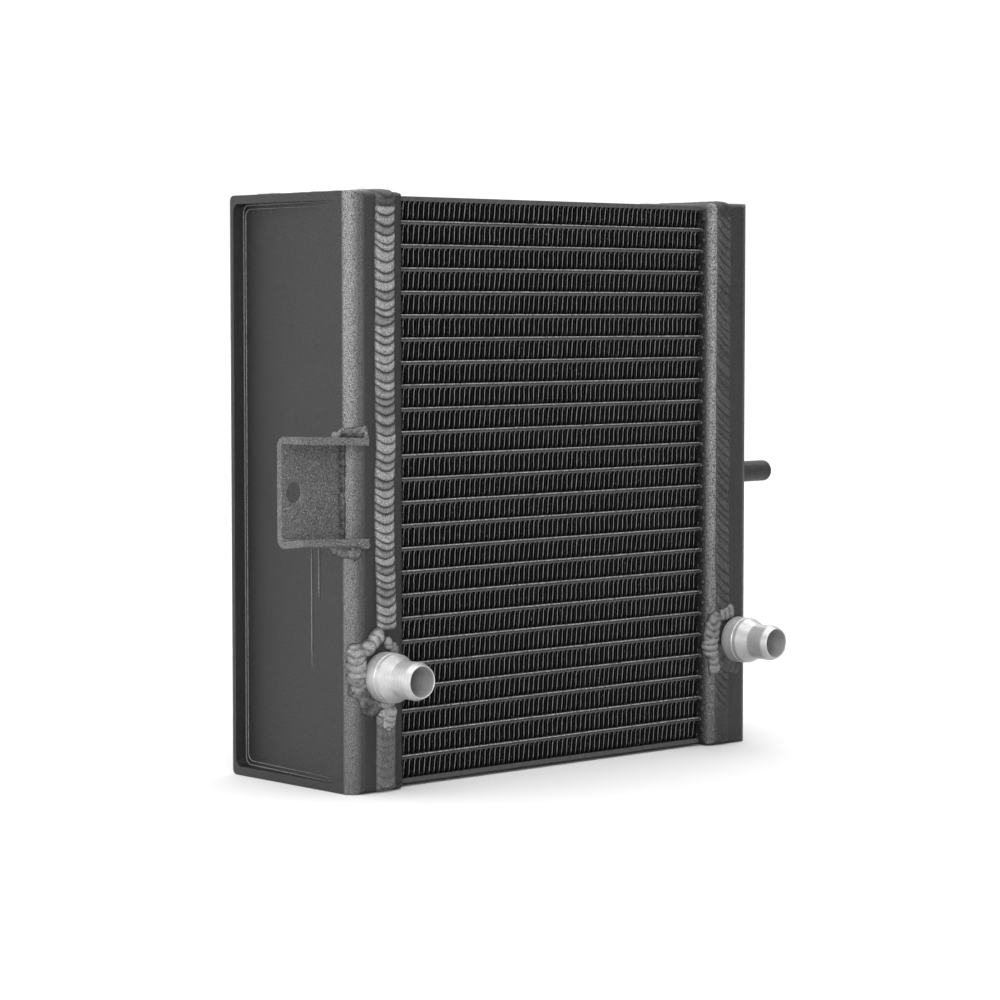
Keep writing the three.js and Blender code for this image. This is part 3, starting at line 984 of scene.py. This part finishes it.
def domes(name, places, direction, radius, height, material):
    """Round bumps at the places, pointing along `direction` in X."""
    vertices = []
    faces = []
    rings = 6
    around = 18
    for x, y, z in places:
        start = len(vertices)
        size = radius * random.uniform(0.85, 1.15)
        for ring in range(rings + 1):
            turn = math.pi / 2 * ring / rings
            for step in range(around):
                angle = 2 * math.pi * step / around
                reach = size * math.cos(turn) + 0.02 * MM
                vertices.append((
                    x + direction * (height * math.sin(turn) - SUNK * (ring == 0)),
                    y + reach * math.cos(angle),
                    z + reach * math.sin(angle),
                ))
        made = grid_faces(rings + 1, around, False, True, start)
        made.append(list(range(start, start + around))[::-1])
        last = start + rings * around
        made.append(list(range(last, last + around)))
        if direction < 0:
            made = [face[::-1] for face in made]
        faces += made
    return piece(name, vertices, faces, material)


def header_bumps(end):
    """The ends of the header's ribs between tubes, and drops of braze at the tubes' noses."""
    tube_heights = [(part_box(n)[0].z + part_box(n)[1].z) / 2 for n in TUBES]
    pitch = tube_heights[1] - tube_heights[0]
    between = [z + pitch / 2 for z in tube_heights[:-1]]
    between = [tube_heights[0] - pitch / 2, *between, tube_heights[-1] + pitch / 2]
    rib_depth = 3.3 * MM
    ribs = [(end.face, end.front + rib_depth, z) for z in between]
    ribs += [(end.face, end.back - rib_depth, z) for z in between]
    domes(
        f"{end.word}_header_ribs", ribs, end.inward, radius=1.35 * MM, height=0.9 * MM,
        material=ROUGH_COAT,
    )
    drops = [(end.face, CORE_FRONT - 0.5 * MM, z) for z in tube_heights]
    drops += [(end.face, CORE_BACK + 0.5 * MM, z) for z in tube_heights]
    domes(
        f"{end.word}_braze_drops", drops, end.inward, radius=0.8 * MM, height=0.6 * MM,
        material=CORE_COAT,
    )


RECESS_START = 10 * MM           # the left tank's outer side is dished from here to the rear
RECESS_DEPTH = 5.5 * MM
RECESS_RIM = 3.8 * MM


def cast_line(name, backs, heights, width, rise, end_taper, lightness):
    """A thin raised line on the recess's sloping floor, past the given places behind the front,
    painted light grey as a painted highlight.

    It grows from a fine point to its full width over `end_taper` places at either end.
    """
    length = LEFT.back - LEFT.front - RECESS_RIM - RECESS_START
    slope = RECESS_DEPTH / length
    around = 11
    points = []
    count = len(backs)
    for index, (back, z) in enumerate(zip(backs, heights)):
        before = max(index - 1, 0)
        after = min(index + 1, count - 1)
        run = np.array([backs[after] - backs[before], heights[after] - heights[before]])
        run = run / np.linalg.norm(run)
        taper = min(1, index / end_taper + 0.15, (count - 1 - index) / end_taper + 0.15)
        inward = max(back - RECESS_START, 0) * slope
        for step in range(around):
            turn = 2 * math.pi * step / around
            across = math.cos(turn) * width * taper
            y = LEFT.front + back + across * run[1]
            lift = math.sin(turn) * rise * taper - across * run[1] * slope
            points.append((LEFT.x(inward - lift), y, z - across * run[0]))
    faces = grid_faces(count, around, False, True)
    faces.append(list(range(around))[::-1])
    faces.append(list(range((count - 1) * around, count * around)))
    return piece(
        name, points, faces, WELD_COAT, crest=np.full(len(points), lightness),
    )


def cast_lines():
    """The two thin lines that run down from the bracket."""
    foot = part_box("mounting_bracket")[0].z + 3 * MM
    for name, back, low in (("long", 29.5 * MM, 0.052), ("short", 24 * MM, 0.081)):
        heights = np.linspace(foot, low, 30)
        cast_line(
            f"cast_line_{name}", np.full(30, back), heights, width=0.28 * MM, rise=0.3 * MM,
            end_taper=6, lightness=0.7,
        )


def recess_edge(name, gap, width, lightness):
    """A thin raised line painted light along the recess's walls, a painted highlight of their
    rounded edges, `gap` in from them: down the rear, top and bottom.
    """
    bend = 3.5 * MM
    rear = LEFT.back - LEFT.front - RECESS_RIM - gap
    low = LEFT.bottom + RECESS_RIM + gap
    high = LEFT.top - RECESS_RIM - gap
    turns = np.linspace(0, math.pi / 2, 8)
    forward = np.linspace(RECESS_START + 6 * MM, rear - bend, 24)[:-1]
    backs = [*forward, *(rear - bend + bend * np.sin(turns))]
    heights = [*np.full(len(forward), high), *(high - bend + bend * np.cos(turns))]
    upright = np.linspace(high - bend, low + bend, 60)[1:-1]
    backs += [*np.full(len(upright), rear), *(rear - bend + bend * np.cos(turns)), *forward[::-1]]
    heights += [*upright, *(low + bend - bend * np.sin(turns)), *np.full(len(forward), low)]
    cast_line(
        name, backs, heights, width=width, rise=0.35 * MM, end_taper=20, lightness=lightness,
    )


for end in (LEFT, RIGHT):
    header_bumps(end)
cast_lines()
# painted highlights: light lines standing for the highlights on the recess's rounded edges
recess_edge("recess_foot", gap=0.4 * MM, width=0.40 * MM, lightness=0.50)
recess_edge("recess_inner_line", gap=2.2 * MM, width=0.22 * MM, lightness=0.60)

# ------------------------------------------------------------------ floor, light and camera


def floor():
    """A pale plain floor just under the cooler."""
    half = 15.0
    mesh = bpy.data.meshes.new("floor")
    corners = [(-half, -half, 0), (half, -half, 0), (half, half, 0), (-half, half, 0)]
    mesh.from_pydata(corners, [], [(0, 1, 2, 3)])
    made = bpy.data.objects.new("floor", mesh)
    bpy.context.scene.collection.objects.link(made)
    made.location.z = cad_box[0].z - 0.1 * MM
    paint = Paint("floor_white")
    paint.set("Base Color", paint.blend(paint.noise(3.0), 0.50, 0.54))
    paint.set("Roughness", 0.9)
    mesh.materials.append(paint.material)


def softbox(name, centre, target, size, brightness):
    """A rectangular lamp that looks equally bright whatever its size."""
    light = bpy.data.lights.new(name, "AREA")
    light.shape = "RECTANGLE"
    light.size = size[0]
    light.size_y = size[1]
    light.energy = brightness * math.pi * size[0] * size[1]
    made = bpy.data.objects.new(name, light)
    made.location = centre
    made.rotation_euler = (Vector(target) - Vector(centre)).to_track_quat("-Z", "Y").to_euler()
    bpy.context.scene.collection.objects.link(made)


def world():
    """A white room: brightest overhead, lit at the left rear, and dim at the front right."""
    overhead_level = 4.2
    wall_level = 1.08
    dimming = -0.93
    filling = 0.80
    made = bpy.data.worlds.new("studio")
    bpy.context.scene.world = made
    made.use_nodes = True
    nodes = Nodes(made.node_tree, "Generated")
    upward = nodes.part("Z")
    front_right = nodes.towards((0.86, -0.51, 0.0))
    left_rear = nodes.towards((-0.64, 0.77, 0.0))
    dim = nodes.remap(front_right, 0.45, 0.80, 0.0, dimming)
    fill = nodes.remap(left_rear, 0.60, 0.95, 0.0, filling)
    low = nodes.remap(upward, 0.30, 0.65, 1.0, 0.0)
    overhead = nodes.remap(upward, 0.65, 0.90, wall_level, overhead_level)
    background = made.node_tree.nodes["Background"]
    side = nodes.maths("MULTIPLY", nodes.maths("ADD", dim, fill), low)
    level = nodes.maths("ADD", overhead, side)
    nodes.join(level, background.inputs["Strength"])
    background.inputs["Color"].default_value = (1, 1, 1, 1)


CAMERA_LEFT = 0.80017            # how far the camera is from the left tank's front corner
CAMERA_FORWARD = 0.97408
CAMERA_HEIGHT = 0.20532
CAMERA_DOWN = math.radians(3.620)
CAMERA_TURN = math.radians(42.221)


def camera():
    """The photograph's view: from the front left, a little above the middle."""
    data = bpy.data.cameras.new("camera")
    data.lens = 108.0
    data.sensor_width = 36.0
    data.clip_start = 0.05
    data.clip_end = 60.0
    made = bpy.data.objects.new("camera", data)
    made.location = (LEFT.outer - CAMERA_LEFT, LEFT.front - CAMERA_FORWARD, CAMERA_HEIGHT)
    made.rotation_euler = (math.pi / 2 - CAMERA_DOWN, 0, -CAMERA_TURN)
    bpy.context.scene.collection.objects.link(made)
    bpy.context.scene.camera = made


floor()
world()
camera()
softbox(
    "key", centre=(-1.25, -1.25, 0.42), target=(0, 0, 0.12), size=(0.9, 0.9), brightness=10.0,
)
bpy.context.scene.view_settings.view_transform = "Standard"
